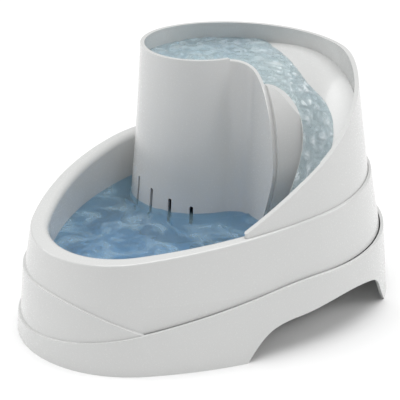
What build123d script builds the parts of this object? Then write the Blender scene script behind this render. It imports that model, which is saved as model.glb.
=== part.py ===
"""Pet water fountain: an egg-shaped basin, a spiral tower with a raised pool and a chute,
and a submersible magnetic-drive pump behind a filter cassette.

Millimetres.  Origin: centre of the footprint on the floor, +Z up, the drinking end at -Y.
"""
import os
from math import atan2, cos, degrees, hypot, radians, sin, sqrt, tan

from build123d import *

# ---------------------------------------------------------------- footprint and skirt
REAR_R = 147.0            # radius of the wide rear end on the floor
REAR_Y = 33.0             # its centre
FRONT_R = 100.0           # radius of the narrow drinking end
FRONT_Y = -80.0           # its centre
FLANK_R = 325.0           # radius of both long sides
SKIRT_WALL = 2.8
SKIRT_DRAFT = 4.8         # degrees, lower band
BAND_STEP = 1.8           # each of the two overlapping bands stands this far proud
BAND_SHOULDER_Z = 58.0    # where the upper band starts to lean in
RIM_INSET = 17.2          # outer edge of the rim from the floor outline
RIM_Z = 108.4             # rim height over the origin
RIM_SLOPE = 0.0734        # the rim rises towards the rear ...
RIM_SAG = 2.03            # ... and bows by this much per (100 mm) squared
RIM_ROUND = 1.8
LIP_ROUND = 6.0
SWEEP_HEADING = 53.0      # plan direction in which the right-hand band edge climbs, degrees
SWEEP_LOW = (-140.0, 20.5)    # distance along that heading, height
SWEEP_HIGH = (66.0, 62.0)
SWEEP_BEND = 220.0        # radius of its bend into the level
DRAPE = ((74.0, 35.5), (30.0, 54.0), (-30.0, 59.5))   # left-hand band edge: x, height
DRAPE_FALL = -38.0        # past its right-hand end it falls straight, degrees
# the hand arches on both sides, seen from the side: y, z
ARCH = (
    (-67.0, -1.0), (-57.0, 13.0), (-45.0, 24.0), (-10.0, 32.0), (31.0, 37.5),
    (69.0, 34.0), (85.0, 27.0), (95.0, 13.0), (106.0, -1.0),
)
ARCH_CENTRE_CLEAR = 88.0  # the arches stop this far from the centre line

# ---------------------------------------------------------------- water tank in the basin
TANK_WALL = 2.8
LIP_INSET = 28.5          # inner edge of the rim lip
TANK_TOP_INSET = 31.6     # tank wall at the water line
TANK_FLOOR_INSET = 38.0
TANK_FLOOR_Z = 7.5
TANK_CORNER_R = 9.0
WATER_Z = 70.4
SEAT_DROP = 4.0           # the tower stands in a rebate this far below the rim
SEAT_CLEAR = 0.3
FOOT_CLEAR = 0.3
CURTAIN_CLEAR = 0.8       # tower to tank wall, below the rim

# ---------------------------------------------------------------- tower
TOWER_TOP_Z = 209.0
TOWER_WALL = 3.6
TOWER_INSET = 19.8        # outer wall from the floor outline, at TOWER_REF_Z
TOWER_REF_Z = 108.0
TOWER_DRAFT = 7.85        # degrees
POOL_R = 53.6             # pool column at the top; it leans forward and flares going down
POOL_BEARING = 156.18     # its direction from the centre of the rear end, degrees
POOL_GAP = 1.74           # at the top it comes this close to the rear wall's circle
POOL_LEAN = 0.04
POOL_FLARE = 0.055
FRONT_WALL_POINT = (41.8, 34.6)   # on the front wall at the water line
FRONT_WALL_HEADING = -15.0
FRONT_WALL_DRAFT = 0.07
HOLLOW_R = 19.0           # concave turn from the pool column into the front wall
WING_TIP_Y = -61.0
WING_ROOT_R = 5.0
RIM_CUT_Z = 137.3         # the outer rim falls along a plane: height at the origin
RIM_CUT_SLOPE = 0.552
RIM_CUT_BEND = 30.0       # radius where that plane meets the level top
POOL_DEPTH = 29.0         # pool floor below the top
WEIR_H = 10.0             # the chute starts this far above the pool floor
WEIR_RUN = 22.0           # a ramp this wide in plan leads up to it
CHUTE_SHEET = 3.0
CHUTE_END_Z = 71.0
CHUTE_PIVOT = (50.0, 22.0)
CHUTE_START = 45.0        # degrees round the pivot, from the pool side
CHUTE_END = 166.0         # where it meets the water
CHUTE_LAST = 178.0        # where it ends under water
CHUTE_STATIONS = 11
CHUTE_NEAR = 9.0          # radii between which the trough is dished
CHUTE_REACH = (157.0, -120.0, 48.0)   # outer radius, and how it changes with the fall
CHUTE_DISH = 16.0         # halfway down, the trough's edges stand this far above its middle
STEEPEST = 4.0            # grade above which the sheet grows no thicker upright
NEWEL = (51.0, 43.0)      # round well that the chute winds about, behind the mouth
NEWEL_R = 23.2
MOUTH_PAST = 0.8          # beside the well, the mouth is cut this far past the front wall
MOUTH_TURN = 66.0         # from the free edge the lip runs back in this direction, degrees
MOUTH_RELIEF = 0.2        # depth of the mouth's cut into the outer wall
SLOT_COUNT = 4
SLOT_WIDTH = 3.2
SLOT_FIRST = -106.5       # degrees round the pool column
SLOT_PITCH = 19.1
SLOT_BOTTOM_Z = 46.0
SLOT_TOP_Z = 93.0
SLOT_TOP_FALL = 5.3       # each slot ends this much lower than the one before
NOTCH_R = 4.5             # way out for the lead, at the back of the tower
FREE_EDGE = ((-14.0, 0.0), (30.0, 17.5), (55.0, 77.0))   # x, drop below the top
FREE_EDGE_FOOT_X = 44.5
FREE_EDGE_SINK = 0.9      # its foot is this far below the water line
RIM_CUT_LEFT = -10.0      # the sloping rim starts right of this line ...
RIM_CUT_SIDE = 70.0       # ... and spares what is left of this and in front of the next
RIM_CUT_FRONT = 60.0
SLOT_REACH = 9.0

# ---------------------------------------------------------------- pump
PUMP_BEHIND = 7.6         # the pump's middle behind the pool column's, at the top
PUMP_W = 46.0
PUMP_D = 36.0
PUMP_H = 50.0
PUMP_LIFT = 5.0           # underside above the tank floor, on the suction feet
PUMP_WALL = 2.5
PUMP_EDGE_R = 4.0
SHAFT_Z = 19.0            # rotor axis above the pump's underside
ROTOR_R = 7.5
ROTOR_L = 14.5
ROTOR_CLEAR = 0.6
WELL_WALL = 1.2
SHAFT_R = 1.2
SHAFT_CLEAR = 0.05
BUSH_R = 3.2
BUSH_L = 3.0
IMPELLER_R = 12.0
IMPELLER_HUB_R = 4.0
IMPELLER_W = 6.0
IMPELLER_DISC_T = 1.5
BLADE_COUNT = 6
BLADE_T = 1.2
CHAMBER_R = 15.0
CHAMBER_DEPTH = 10.0
COVER_R = 17.5
COVER_T = 2.2
INLET_R = 9.0
SPOKE_W = 1.8
SPOKE_COUNT = 3
SEAL_T = 1.2
CORE_LEG = 5.0
CORE_T = 9.0
CORE_GAP = 0.5
BOBBIN_T = 1.0
WINDING_T = 3.6
OUTLET_R = 6.5
OUTLET_BORE_R = 4.5
OUTLET_H = 12.0
INTAKE_DEPTH = 9.0
INTAKE_LAP = 3.0          # how far the hood reaches back over the pump
INTAKE_WALL = 1.8
INTAKE_CLEAR = 0.25
INTAKE_EDGE = 7.2         # plain height above and below the grille's slots
INTAKE_BARS = 7
DIAL_R = 4.8
DIAL_T = 2.0
GRIP_L = 7.7              # length of the dial's grip
DIAL_UP = 41.5            # the valve's axis above the pump's underside
PLUG_R = 4.6
PLUG_BORE_R = 3.6
PLUG_END = 6.0            # the plug reaches this far past the outlet's axis
CUP_R = 6.5
CUP_LIP = 1.5
CUP_STEM_R = 2.2
CUP_STEM_L = 2.0
CUP_SHIFT = 2.0
CUP_SPREAD_X = 15.0
CUP_SPREAD_Y = 8.5
GLAND_R = 4.0
GLAND_L = 9.0
GLAND_IN = 3.0
GLAND_STEP = 1.0          # outside the resin it is this much thicker all round
GLAND_BORE_R = 1.8
GLAND_EDGE = 9.0          # its middle in from the pump's right-hand side
GLAND_UP = 10.0

# ---------------------------------------------------------------- riser and pool fittings
RISER_BORE_R = 4.6
RISER_WALL = 1.6
RISER_OVERLAP = 9.0
RISER_STANDS = 5.0        # the riser ends this far above the pool floor
ADAPTER_WALL = 1.6
SPOUT_BORE_R = 3.2
GROMMET_R = 8.2
GROMMET_FLANGE_T = 1.5
COLLAR_R = 10.5
CAP_R = 12.0
CAP_H = 8.0
CAP_WALL = 1.2
CAP_FLOOR = 3.0
CAP_BARS = 4
CAP_WINDOWS = 8
CAP_WINDOW_W = 4.0
CAP_RING = 1.56           # plain height above and below the windows
FIT_CLEAR = 0.15

# ---------------------------------------------------------------- filter
FILTER_AHEAD = 45.0       # the cassette's middle in front of the pump's
FILTER_W = 58.0
FILTER_D = 14.0
FILTER_H = 60.0
FRAME_WALL = 2.0
FOAM_T = 4.0
RAIL_H = 24.0
RAIL_T = 2.4
RAIL_LAP = 6.0
RAIL_CLEAR = 0.5
TRAY_T = 2.4
FILTER_LIP = 3.0
GRILLE_PITCH = 5.0
TAB_W = 20.0
TAB_H = 7.0

BIG = 400.0
BOTTOM = (Align.CENTER, Align.CENTER, Align.MIN)
FRONT_FOOT = (Align.CENTER, Align.MIN, Align.MIN)

# ---------------------------------------------------------------- places that follow
TOP_R = REAR_R - TOWER_INSET - tan(radians(TOWER_DRAFT)) * (TOWER_TOP_Z - TOWER_REF_Z)
POOL_REACH = TOP_R - POOL_R - POOL_GAP
POOL_X = POOL_REACH * cos(radians(POOL_BEARING))
POOL_Y = REAR_Y + POOL_REACH * sin(radians(POOL_BEARING))
POOL_FLOOR_Z = TOWER_TOP_Z - POOL_DEPTH
CHUTE_TOP_Z = POOL_FLOOR_Z + WEIR_H
PUMP_X = POOL_X
PUMP_Y = POOL_Y + PUMP_BEHIND
FILTER_X = PUMP_X
FILTER_Y = PUMP_Y - FILTER_AHEAD
PUMP_BASE_Z = TANK_FLOOR_Z + PUMP_LIFT
PUMP_TOP_Z = PUMP_BASE_Z + PUMP_H
PUMP_FRONT_Y = PUMP_Y - PUMP_D / 2
AXIS_Z = PUMP_BASE_Z + SHAFT_Z
WELL_R = ROTOR_R + ROTOR_CLEAR
WELL_DEPTH = ROTOR_L + BUSH_L
CHAMBER_BACK_Y = PUMP_FRONT_Y + COVER_T + SEAL_T + CHAMBER_DEPTH
WELL_END_Y = CHAMBER_BACK_Y + WELL_DEPTH
IMPELLER_BACK_Y = CHAMBER_BACK_Y - ROTOR_CLEAR
SHAFT_FRONT_Y = PUMP_FRONT_Y + FIT_CLEAR
SHAFT_L = WELL_END_Y - FIT_CLEAR - SHAFT_FRONT_Y
POTTING_Y = CHAMBER_BACK_Y + PUMP_WALL
CORE_Y = (POTTING_Y + PUMP_Y + PUMP_D / 2) / 2
YOKE_TOP_Z = AXIS_Z + WELL_R + WELL_WALL + CORE_GAP + WINDING_T + CORE_LEG
OUTLET_Y = PUMP_FRONT_Y + COVER_T + SEAL_T + CHAMBER_DEPTH / 2
CUP_Y = PUMP_Y + CUP_SHIFT
GLAND_X = PUMP_X + PUMP_W / 2 - GLAND_EDGE
RISER_R = RISER_BORE_R + RISER_WALL
RISER_LOW_Z = PUMP_TOP_Z + OUTLET_H + ADAPTER_WALL + FOOT_CLEAR
RISER_TOP_Z = POOL_FLOOR_Z + RISER_STANDS
CAP_Z = POOL_FLOOR_Z + GROMMET_FLANGE_T + FOOT_CLEAR
CARBON_T = FILTER_D - 2 * FRAME_WALL - FOAM_T - 3 * FIT_CLEAR
DIAL_Z = PUMP_BASE_Z + DIAL_UP
GLAND_Z = PUMP_BASE_Z + GLAND_UP


# ---------------------------------------------------------------- plan helpers
def flank_centre():
    """Centre of the right-hand long side, which touches both end circles."""
    to_rear = FLANK_R - REAR_R
    to_front = FLANK_R - FRONT_R
    span = REAR_Y - FRONT_Y
    y = (to_front**2 - to_rear**2 + REAR_Y**2 - FRONT_Y**2) / (2 * span)
    return -sqrt(to_rear**2 - (y - REAR_Y) ** 2), y


FLANK_X, FLANK_Y = flank_centre()
JOIN_REAR = degrees(atan2(REAR_Y - FLANK_Y, -FLANK_X))
JOIN_FRONT = degrees(atan2(FRONT_Y - FLANK_Y, -FLANK_X))


def arc(x, y, radius, start, end, z):
    """Anticlockwise arc in a level plane, angles in degrees."""
    return Edge.make_circle(radius, Plane((x, y, z)), start, end)


def egg(offset, z):
    """The footprint's outline, moved out by offset, at height z."""
    return Wire([
        arc(FLANK_X, FLANK_Y, FLANK_R + offset, JOIN_FRONT, JOIN_REAR, z),
        arc(0, REAR_Y, REAR_R + offset, JOIN_REAR, 180 - JOIN_REAR, z),
        arc(-FLANK_X, FLANK_Y, FLANK_R + offset, 180 - JOIN_REAR, 180 - JOIN_FRONT, z),
        arc(0, FRONT_Y, FRONT_R + offset, 180 - JOIN_FRONT, 360 + JOIN_FRONT, z),
    ])


def egg_solid(*stations):
    """Body through the footprint's outline at (height, offset) stations."""
    return Solid.make_loft([egg(offset, z) for z, offset in stations], ruled=True)


def side_profile(plane, *edges):
    """A face in an upright plane, whose second direction is the height."""
    return plane * make_face(Wire(list(edges)))


def below(plane, edges, floor=-BIG / 4):
    """Block under a curve drawn left to right in an upright plane."""
    first = edges[0] @ 0
    last = edges[-1] @ 1
    base = Polyline((last.X, last.Y), (last.X, floor), (first.X, floor), (first.X, first.Y))
    return extrude(side_profile(plane, *edges, *base.edges()), BIG, both=True)


def rim_height(y):
    return RIM_Z + RIM_SLOPE * y - RIM_SAG * (y / 100) ** 2


def rim_line(drop):
    """The rim's bow from the side, lowered by drop."""
    reach = BIG / 2
    return [ThreePointArc(*((y, rim_height(y) - drop) for y in (-reach, 0, reach)))]


def below_rim(drop):
    return below(Plane.YZ, rim_line(drop))


# ---------------------------------------------------------------- basin
def band_sweep():
    """Block under the band edge that climbs from the front round the right-hand side."""
    heading = radians(SWEEP_HEADING)
    along = (cos(heading), sin(heading), 0)
    plane = Plane((0, 0, 0), x_dir=along, z_dir=(sin(heading), -cos(heading), 0))
    slope = (SWEEP_HIGH[1] - SWEEP_LOW[1]) / (SWEEP_HIGH[0] - SWEEP_LOW[0])
    start = (-BIG / 2, SWEEP_LOW[1] + slope * (-BIG / 2 - SWEEP_LOW[0]))
    line = FilletPolyline(start, SWEEP_HIGH, (BIG / 2, SWEEP_HIGH[1]), radius=SWEEP_BEND)
    return below(plane, line.edges())


def band_drape():
    """Block under the band edge that falls from the left-hand side to the front right."""
    (x0, z0), (x1, z1), (x2, z2) = DRAPE
    curve = ThreePointArc((x2, z2), (x1, z1), (x0, z0))
    rise = Line((-BIG / 2, z2), (x2, z2))
    run = BIG / 4
    fall = Line((x0, z0), (x0 + run, z0 + run * tan(radians(DRAPE_FALL))))
    return below(Plane.XZ, [rise, curve, fall])


def skirt_block(inset):
    """The skirt's outer form in three overlapping bands, moved in by inset."""
    lean = tan(radians(SKIRT_DRAFT))
    top_z = RIM_Z + 20
    shoulder = 2 * BAND_STEP + lean * BAND_SHOULDER_Z
    slope = (RIM_INSET - shoulder) / (RIM_Z - BAND_SHOULDER_Z)
    upper = egg_solid(
        (0, -2 * BAND_STEP - inset),
        (BAND_SHOULDER_Z, -shoulder - inset),
        (top_z, -RIM_INSET - slope * (top_z - RIM_Z) - inset),
    )
    middle = egg_solid((0, -BAND_STEP - inset), (top_z, -BAND_STEP - lean * top_z - inset))
    lower = egg_solid((0, -inset), (top_z, -lean * top_z - inset))
    return upper + (middle & band_drape()) + (lower & band_sweep())


def tank_block(inset):
    """The tank's inner form, moved out by inset, with a rounded floor edge."""
    slope = (TANK_TOP_INSET - LIP_INSET) / (RIM_Z - WATER_Z)
    top_z = RIM_Z + 20
    block = egg_solid(
        (TANK_FLOOR_Z - inset, inset - TANK_FLOOR_INSET),
        (WATER_Z, inset - TANK_TOP_INSET),
        (top_z, inset - TANK_TOP_INSET + slope * (top_z - WATER_Z)),
    )
    floor_edges = block.edges().group_by(Axis.Z)[0]
    return block.fillet(TANK_CORNER_R + inset, floor_edges)


def arch_block():
    """Cutter for the hand arches, through both sides of the skirt."""
    both = below(Plane.YZ, [Spline(*ARCH)])
    return both - Box(2 * ARCH_CENTRE_CLEAR, 2 * BIG, BIG)


def lead_notch():
    """Way out for the pump's lead, between the tower and the rim at the rear."""
    notch = Cylinder(NOTCH_R, 4 * RIM_INSET, rotation=(90, 0, 0))
    rear_y = REAR_Y + REAR_R - RIM_INSET
    return Pos(0, rear_y, rim_height(rear_y)) * notch


def make_basin():
    hollow = skirt_block(SKIRT_WALL) & below_rim(SEAT_DROP + SKIRT_WALL)
    skirt = (skirt_block(0) & below_rim(0)) - hollow - arch_block()
    basin = skirt + (tank_block(TANK_WALL) & below_rim(0)) - tank_block(0)
    rim = basin.faces().filter_by(lambda face: face.normal_at().Z > 0.9).sort_by(Axis.Z)[-1]
    inner, outer = rim.wires().sort_by(SortBy.LENGTH)
    basin = fillet(inner.edges(), LIP_ROUND)
    rim = basin.faces().filter_by(lambda face: face.normal_at().Z > 0.9).sort_by(Axis.Z)[-1]
    basin = fillet(rim.wires().sort_by(SortBy.LENGTH)[-1].edges(), RIM_ROUND)
    rebate = tower_block(-SEAT_CLEAR, WATER_Z, wing=True) - below_rim(SEAT_DROP)
    basin -= rebate + lead_notch()
    return basin - Box(BIG * 2, BIG * 2, BIG, align=(Align.CENTER, Align.CENTER, Align.MAX))


# ---------------------------------------------------------------- tower plan
def polar(x, y, radius, angle):
    return x + radius * cos(radians(angle)), y + radius * sin(radians(angle))


def bearing(start, end):
    return degrees(atan2(end[1] - start[1], end[0] - start[0])) % 360


def point_on_line(start, heading, centre, distance):
    """The far point of a line that lies at a given distance from a centre."""
    along = (cos(radians(heading)), sin(radians(heading)))
    gap = (start[0] - centre[0], start[1] - centre[1])
    half = gap[0] * along[0] + gap[1] * along[1]
    run = -half + sqrt(half**2 - gap[0] ** 2 - gap[1] ** 2 + distance**2)
    return start[0] + run * along[0], start[1] + run * along[1]


def clockwise(centre, radius, start, end, z):
    """Arc from angle start down to angle end."""
    return arc(*centre, radius, end, start, z).reversed()


def tower_wire(inset, z, wing):
    """The tower's outline at height z, moved in by inset, with or without its wing.

    Arcs and a straight run that touch one another: the right-hand side, the rear, a blend
    into the pool column, the column, a hollow turn, the front wall, and then either a
    rounded corner or the wing, which runs forward as a thin wall to a round tip.
    """
    outer = -TOWER_INSET - tan(radians(TOWER_DRAFT)) * (z - TOWER_REF_Z)
    depth = TOWER_TOP_Z - z
    rear, rear_r = (0.0, REAR_Y), REAR_R + outer
    flank, flank_r = (FLANK_X, FLANK_Y), FLANK_R + outer
    pool, pool_r = (POOL_X, POOL_Y - POOL_LEAN * depth), POOL_R + POOL_FLARE * depth
    # the blend is midway in size between the rear and the pool column
    arm = (rear_r - pool_r) / 2
    half_reach = hypot(pool[0] - rear[0], pool[1] - rear[1]) / 2
    turn = degrees(atan2(sqrt(max(arm**2 - half_reach**2, 0.0)), half_reach))
    blend, blend_r = polar(*rear, arm, bearing(rear, pool) - turn), rear_r - arm
    # the front wall's line, and the hollow turn that touches it and the column
    base = (FRONT_WALL_POINT[0], FRONT_WALL_POINT[1] + FRONT_WALL_DRAFT * (z - WATER_Z))
    facing = FRONT_WALL_HEADING - 90
    hollow = point_on_line(
        polar(*base, HOLLOW_R, facing), FRONT_WALL_HEADING, pool, pool_r + HOLLOW_R
    )
    blend_start = bearing(rear, blend)
    blend_end = bearing(blend, pool)
    column_end = bearing(pool, hollow)
    behind = facing + 180
    edges = [
        arc(*rear, rear_r - inset, JOIN_REAR, blend_start, z),
        arc(*blend, blend_r - inset, blend_start, blend_end, z),
        arc(*pool, pool_r - inset, blend_end, column_end, z),
        clockwise(hollow, HOLLOW_R + inset, column_end - 180, behind, z),
    ]
    line_start = polar(*hollow, HOLLOW_R + inset, behind)
    if wing:
        inner_r = flank_r - TOWER_WALL
        root = point_on_line(
            polar(*base, WING_ROOT_R, facing), FRONT_WALL_HEADING, flank, inner_r - WING_ROOT_R
        )
        root_angle = bearing(flank, root) - 360
        tip_angle = degrees(atan2(WING_TIP_Y - FLANK_Y, flank_r))
        tip = polar(*flank, flank_r - TOWER_WALL / 2, tip_angle)
        line_end = polar(*root, WING_ROOT_R + inset, behind)
        edges += [
            Edge.make_line((*line_start, z), (*line_end, z)),
            clockwise(root, WING_ROOT_R + inset, behind, root_angle, z),
            clockwise(flank, inner_r + inset, root_angle, tip_angle, z),
            arc(*tip, TOWER_WALL / 2 - inset, tip_angle - 180, tip_angle, z),
            arc(*flank, flank_r - inset, tip_angle, JOIN_REAR, z),
        ]
    else:
        corner_r = TOWER_WALL + MOUTH_PAST
        corner = point_on_line(
            polar(*base, corner_r, behind), FRONT_WALL_HEADING, rear, rear_r - corner_r
        )
        corner_angle = degrees(atan2(corner[1] - rear[1], corner[0] - rear[0]))
        line_end = polar(*corner, corner_r - inset, facing)
        edges[0] = arc(*rear, rear_r - inset, corner_angle, blend_start, z)
        edges += [
            Edge.make_line((*line_start, z), (*line_end, z)),
            arc(*corner, corner_r - inset, facing, corner_angle, z),
        ]
    return Wire(edges)


def tower_block(inset, low_z, wing, high_z=TOWER_TOP_Z):
    wires = [tower_wire(inset, z, wing) for z in (low_z, high_z)]
    return Solid.make_loft(wires, ruled=True)


# ---------------------------------------------------------------- pool floor and chute
def chute_section(turn, depth):
    """Upright radial cut through the trough at a turn round its pivot.

    The floor falls with the square of the turn, and is dished across.  With no depth given
    the sheet keeps its thickness at right angles to the fall.
    """
    share = (turn - CHUTE_START) / (CHUTE_END - CHUTE_START)
    fall = CHUTE_TOP_Z - CHUTE_END_Z
    dish = CHUTE_DISH * sin(radians(180 * min(share, 1.0)))
    far = CHUTE_REACH[0] + CHUTE_REACH[1] * share + CHUTE_REACH[2] * share**2
    radii = (CHUTE_NEAR, (CHUTE_NEAR + far) / 2, far)
    middle_z = CHUTE_TOP_Z - fall * share**2
    grade = 2 * fall * share / radians(CHUTE_END - CHUTE_START)
    low = []
    for radius, lift in zip(radii, (dish, 0, dish)):
        steep = min(grade / radius, STEEPEST)
        low.append(middle_z + lift - (depth or CHUTE_SHEET * sqrt(1 + steep**2)))
    high = [(radii[0], middle_z + dish), (radii[1], middle_z - dish), (radii[2], middle_z + dish)]
    bend = 2 * low[1] - (low[0] + low[2]) / 2
    heading = radians(180 - turn)
    plane = Plane(
        (*CHUTE_PIVOT, 0), x_dir=(cos(heading), sin(heading), 0),
        z_dir=(sin(heading), -cos(heading), 0),
    )
    outline = [
        Bezier(*high),
        Line(high[2], (far, low[2])),
        Bezier((far, low[2]), (radii[1], bend), (CHUTE_NEAR, low[0])),
        Line((CHUTE_NEAR, low[0]), high[0]),
    ]
    return plane * Wire([edge.edge() for edge in outline])


def chute_block(depth=None):
    """The trough from the pool to below the water, as a sheet or down to a depth."""
    step = (CHUTE_LAST - CHUTE_START) / CHUTE_STATIONS
    turns = [CHUTE_START + step * index for index in range(CHUTE_STATIONS + 1)]
    return Solid.make_loft([chute_section(turn, depth) for turn in turns])


def pool_floor():
    """Level plate that ends where the ramp up to the chute begins."""
    half = Box(2 * BIG, BIG, CHUTE_SHEET, align=(Align.CENTER, Align.MIN, Align.MAX))
    start = Pos(*CHUTE_PIVOT, POOL_FLOOR_Z) * Rot(0, 0, 180 - CHUTE_START)
    return start * Pos(0, WEIR_RUN, 0) * half


def weir_ramp():
    """Sheet that climbs from the pool floor to the line where the chute begins."""
    crest = make_face(chute_section(CHUTE_START, CHUTE_SHEET))
    heading = radians(180 - CHUTE_START)
    down = (-WEIR_RUN * sin(heading), WEIR_RUN * cos(heading), -WEIR_H)
    return extrude(crest, hypot(WEIR_RUN, WEIR_H), dir=down)


# ---------------------------------------------------------------- tower
def free_edge_face(grow, stretch):
    """What is right of and above the front wall's free edge, in the X-Z plane.

    It is made larger by grow, and its widths are stretched for a plane that lies aslant.
    """
    points = [(x, TOWER_TOP_Z - drop) for x, drop in FREE_EDGE]
    points.append((FREE_EDGE_FOOT_X, WATER_Z - FREE_EDGE_SINK))
    shifts = ((0, 1), (0.7, 0.7), (1, 0), (1, 1))
    start_x = FRONT_WALL_POINT[0]
    points = [
        ((x - dx * grow - start_x) * stretch, z - dz * grow - WATER_Z)
        for (x, z), (dx, dz) in zip(points, shifts)
    ]
    edge = Spline(*points, tangents=((stretch, -0.12), (-0.3 * stretch, -1)))
    first, last = points[0], points[-1]
    rest = Polyline(last, (BIG, last[1]), (BIG, BIG), (first[0], BIG), first)
    return make_face(Wire([edge.edge(), *rest.edges()]))


def mouth_block(grow):
    """The mouth's cutter: a slab through the front wall, and the well behind its free edge.

    It is made larger by grow, and cuts slightly into the outer wall.
    """
    lean = degrees(atan2(FRONT_WALL_DRAFT, 1))
    corner = (*FRONT_WALL_POINT, WATER_Z)
    base = Plane(corner).rotated((-lean, 0, FRONT_WALL_HEADING))
    depth = TOWER_WALL + MOUTH_PAST
    reach = depth + 3 * WING_ROOT_R
    front = Box(2 * BIG, reach, 2 * BIG, align=(Align.CENTER, Align.MAX, Align.CENTER))
    level = Plane(corner, x_dir=(1, 0, 0), z_dir=(0, -1, 0))
    slab = extrude(level * free_edge_face(grow, 1), BIG, both=True)
    slab &= base * (Pos(0, depth + grow, 0) * front)
    heading = radians(FRONT_WALL_HEADING)
    aslant = Plane(corner, x_dir=(cos(heading), sin(heading), 0), z_dir=base.y_dir * -1)
    turned = (cos(radians(MOUTH_TURN)), sin(radians(MOUTH_TURN)), 0)
    well = extrude(aslant * free_edge_face(grow, 1 / cos(heading)), 3 * NEWEL_R, dir=turned)
    well &= Pos(*NEWEL, 0) * Cylinder(NEWEL_R + grow, BIG, align=BOTTOM)
    inset = TOWER_WALL - MOUTH_RELIEF - grow / 2
    fall = tan(radians(TOWER_DRAFT))
    inside = egg_solid(*(
        (z, -TOWER_INSET - fall * (z - TOWER_REF_Z) - inset) for z in (0, TOWER_TOP_Z + 10)
    ))
    return (slab + well) & inside


def rim_cut():
    """Cutter that slopes the outer rim down along the right-hand side to the wing."""
    level_y = (TOWER_TOP_Z - RIM_CUT_Z) / RIM_CUT_SLOPE
    foot = (-BIG, RIM_CUT_Z - RIM_CUT_SLOPE * BIG)
    line = FilletPolyline(foot, (level_y, TOWER_TOP_Z), (BIG, TOWER_TOP_Z), radius=RIM_CUT_BEND)
    above = Box(2 * BIG, 2 * BIG, 2 * BIG) - below(Plane.YZ, line.edges(), -2 * BIG)
    left = Box(BIG * 2, BIG * 2, BIG * 2, align=(Align.MAX, Align.CENTER, Align.CENTER))
    front = Box(BIG * 2, BIG * 2, BIG * 2, align=(Align.MAX, Align.MAX, Align.CENTER))
    return above - Pos(RIM_CUT_LEFT, 0, 0) * left - Pos(RIM_CUT_SIDE, RIM_CUT_FRONT, 0) * front


def slot_cutters():
    cutters = []
    for index in range(SLOT_COUNT):
        top = SLOT_TOP_Z - index * SLOT_TOP_FALL
        height = top - SLOT_BOTTOM_Z
        middle = (top + SLOT_BOTTOM_Z) / 2
        depth = TOWER_TOP_Z - middle
        angle = SLOT_FIRST + index * SLOT_PITCH
        place = polar(POOL_X, POOL_Y - POOL_LEAN * depth, POOL_R + POOL_FLARE * depth, angle)
        outward = (cos(radians(angle)), sin(radians(angle)), 0)
        plane = Plane((*place, middle), x_dir=(0, 0, 1), z_dir=outward)
        cutters.append(extrude(plane * SlotOverall(height, SLOT_WIDTH), SLOT_REACH, both=True))
    return cutters


def make_tower():
    foot = TANK_FLOOR_Z
    cavity = tower_block(TOWER_WALL, foot - 1, wing=False, high_z=TOWER_TOP_Z + 1)
    lining = tower_block(TOWER_WALL / 2, foot, wing=False)
    ring = tower_block(0, foot, wing=True) - cavity - rim_cut()
    sheet = (lining & pool_floor()) + (lining & chute_block()) + (lining & weir_ramp())
    under_trough = Pos(0, 0, -CHUTE_SHEET / 3) * chute_block(depth=BIG)
    lip = lining & mouth_block(CHUTE_SHEET) & under_trough
    tower = ring + sheet + lip - mouth_block(0)
    tower -= below_rim(SEAT_DROP - SEAT_CLEAR) - tank_block(-CURTAIN_CLEAR)
    tower -= slot_cutters()
    tower -= Pos(PUMP_X, OUTLET_Y, POOL_FLOOR_Z) * Cylinder(GROMMET_R, 4 * CHUTE_SHEET)
    return tower - lead_notch()


# ---------------------------------------------------------------- pump
def tube(outer, bore, height):
    return Cylinder(outer, height, align=BOTTOM) - Cylinder(bore, height, align=BOTTOM)


def on_axis(y, shape):
    """Lay a piece drawn up the Z axis along the rotor axis, its base at y, pointing back."""
    return Pos(PUMP_X, y, AXIS_Z) * (Rot(-90, 0, 0) * shape)


def make_pump_body():
    body = Pos(PUMP_X, PUMP_Y, PUMP_BASE_Z) * Box(PUMP_W, PUMP_D, PUMP_H, align=BOTTOM)
    body = fillet(body.edges().filter_by(Axis.Y), PUMP_EDGE_R)
    spigot = Cylinder(OUTLET_R, PUMP_WALL + OUTLET_H, align=BOTTOM)
    body += Pos(PUMP_X, OUTLET_Y, PUMP_TOP_Z - PUMP_WALL) * spigot
    body -= potting_space()
    body += well_block()
    body -= on_axis(PUMP_FRONT_Y, Cylinder(COVER_R + FIT_CLEAR, COVER_T + SEAL_T, align=BOTTOM))
    chamber = Cylinder(CHAMBER_R, COVER_T + SEAL_T + CHAMBER_DEPTH, align=BOTTOM)
    body -= on_axis(PUMP_FRONT_Y, chamber)
    body -= on_axis(CHAMBER_BACK_Y, Cylinder(WELL_R, WELL_DEPTH, align=BOTTOM))
    body += on_axis(WELL_END_Y - BUSH_L, tube(BUSH_R + WELL_WALL, BUSH_R, BUSH_L))
    body -= Pos(PUMP_X, OUTLET_Y, AXIS_Z) * Cylinder(OUTLET_BORE_R, BIG / 4, align=BOTTOM)
    for x, y in cup_places():
        body -= Pos(x, y, PUMP_BASE_Z) * Cylinder(CUP_STEM_R, CUP_STEM_L, align=BOTTOM)
    body -= dial_place() * Cylinder(PLUG_R + SHAFT_CLEAR, PUMP_W / 2 + PLUG_END, align=BOTTOM)
    return body


def well_block():
    """Outside of the thin closed sleeve that the rotor turns in."""
    sleeve = Cylinder(WELL_R + WELL_WALL, WELL_DEPTH + WELL_WALL, align=BOTTOM)
    return on_axis(CHAMBER_BACK_Y, sleeve)


def potting_space():
    """Pocket behind the pump chamber, open to the rear, for the stator."""
    low, high = POTTING_Y, PUMP_Y + PUMP_D / 2
    pocket = Box(PUMP_W - 2 * PUMP_WALL, high - low, PUMP_H - 2 * PUMP_WALL, align=BOTTOM)
    return Pos(PUMP_X, (low + high) / 2, PUMP_BASE_Z + PUMP_WALL) * pocket


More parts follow.
